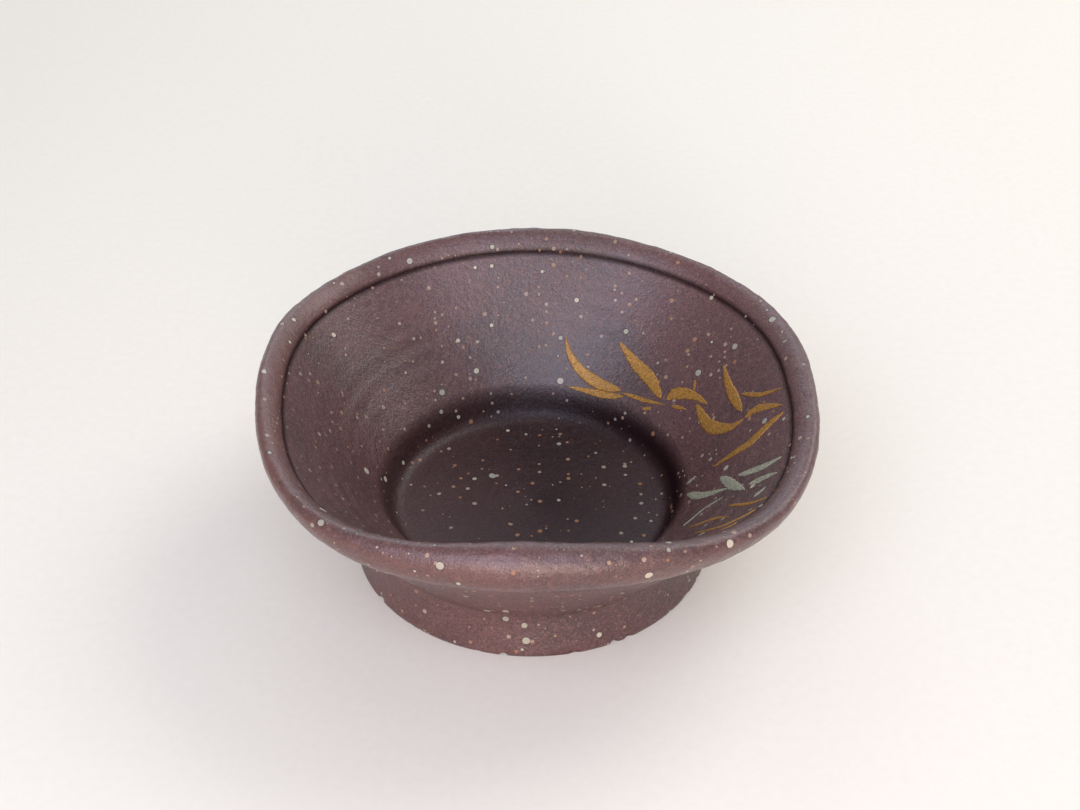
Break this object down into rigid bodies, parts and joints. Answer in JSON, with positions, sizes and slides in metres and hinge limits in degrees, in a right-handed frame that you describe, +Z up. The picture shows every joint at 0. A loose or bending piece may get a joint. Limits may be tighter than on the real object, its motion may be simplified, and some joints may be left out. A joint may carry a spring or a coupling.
{
  "type": "square bowl",
  "caption": "Small thick-lipped stoneware bowl with a round foot, a sunken well, four soft pressed sides and a painted spray of bamboo grass.",
  "frame": {"origin": "on the surface that the bowl stands on, under the middle of the bowl's outline; the foot's axis is 1.7 mm to the left of it and 1.3 mm behind it", "axes": "+Z up through the middle of the bowl; +Y away from the picture's viewer; +X to the viewer's right, towards the painted spray"},
  "size_m": [0.1418, 0.139, 0.0546],
  "materials": {
    "stoneware": "iron-rich red-brown stoneware with a thin semi-gloss skin and feldspar grit",
    "gold_paint": "worn gold overglaze paint",
    "silver_paint": "tarnished silver overglaze paint"
  },
  "bodies": {
    "root": {"bowl_wall": "stoneware", "foot_ring": "stoneware", "rolled_lip": "stoneware", "gold_bud_low": "gold_paint", "gold_bud_mid": "gold_paint", "gold_grass_end": "gold_paint", "gold_grass_long": "gold_paint", "gold_grass_short": "gold_paint", "gold_grass_upper": "gold_paint", "gold_leaf_curled": "gold_paint", "gold_leaf_long": "gold_paint", "gold_leaf_low_left": "gold_paint", "gold_leaf_middle": "gold_paint", "gold_leaf_rising": "gold_paint", "gold_leaf_tip": "gold_paint", "gold_leaf_upper_left": "gold_paint", "gold_leaf_upper_mid": "gold_paint", "gold_stem_left": "gold_paint", "gold_stem_right": "gold_paint", "gold_thorn": "gold_paint", "silver_leaf_broad": "silver_paint", "silver_leaf_lower": "silver_paint", "silver_leaf_right": "silver_paint", "silver_leaf_upper": "silver_paint", "silver_stem": "silver_paint", "silver_twig_inner": "silver_paint", "silver_twig_outer": "silver_paint"}
  },
  "joints": []
}
